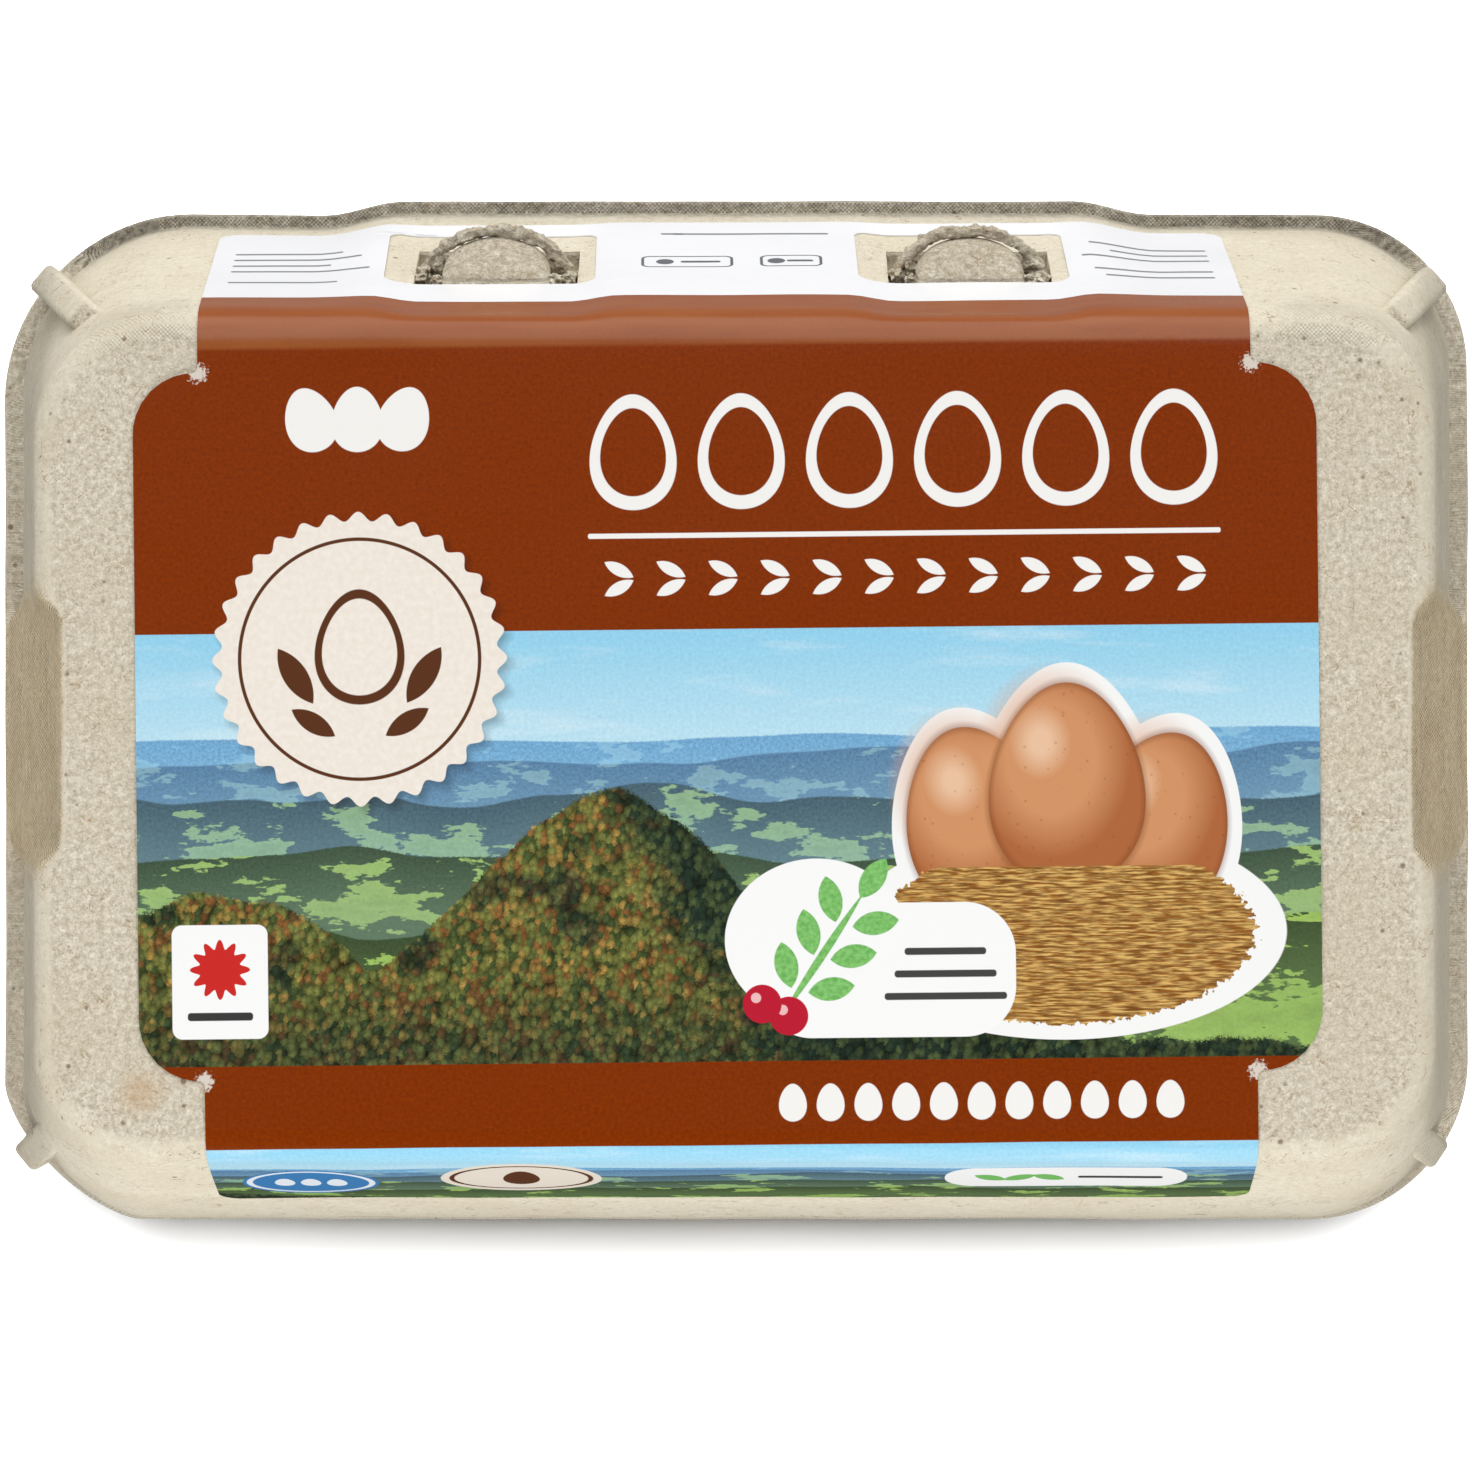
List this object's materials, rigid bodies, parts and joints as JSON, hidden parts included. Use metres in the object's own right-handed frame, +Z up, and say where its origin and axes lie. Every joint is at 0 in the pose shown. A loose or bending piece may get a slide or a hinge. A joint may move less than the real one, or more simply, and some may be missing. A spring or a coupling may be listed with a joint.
{
  "type": "egg carton",
  "caption": "Shut moulded-pulp egg carton with a label folded over its lid, latches at the front, finger notches at its ends and tapered cups underneath.",
  "frame": {"origin": "middle of the footprint, on the ground", "axes": "+X along the long side, +Y from the hinge to the latches, +Z up through the lid"},
  "size_m": [0.1524, 0.106, 0.0706],
  "materials": {
    "pulp": "matt moulded pulp, grey-beige, flecked with fibres and pressed with the mould's wire mesh",
    "printed_paper": "satin self-adhesive paper, mostly brown, printed with a plain landscape"
  },
  "bodies": {
    "root": {"carton": "pulp", "label": "printed_paper"}
  },
  "joints": []
}
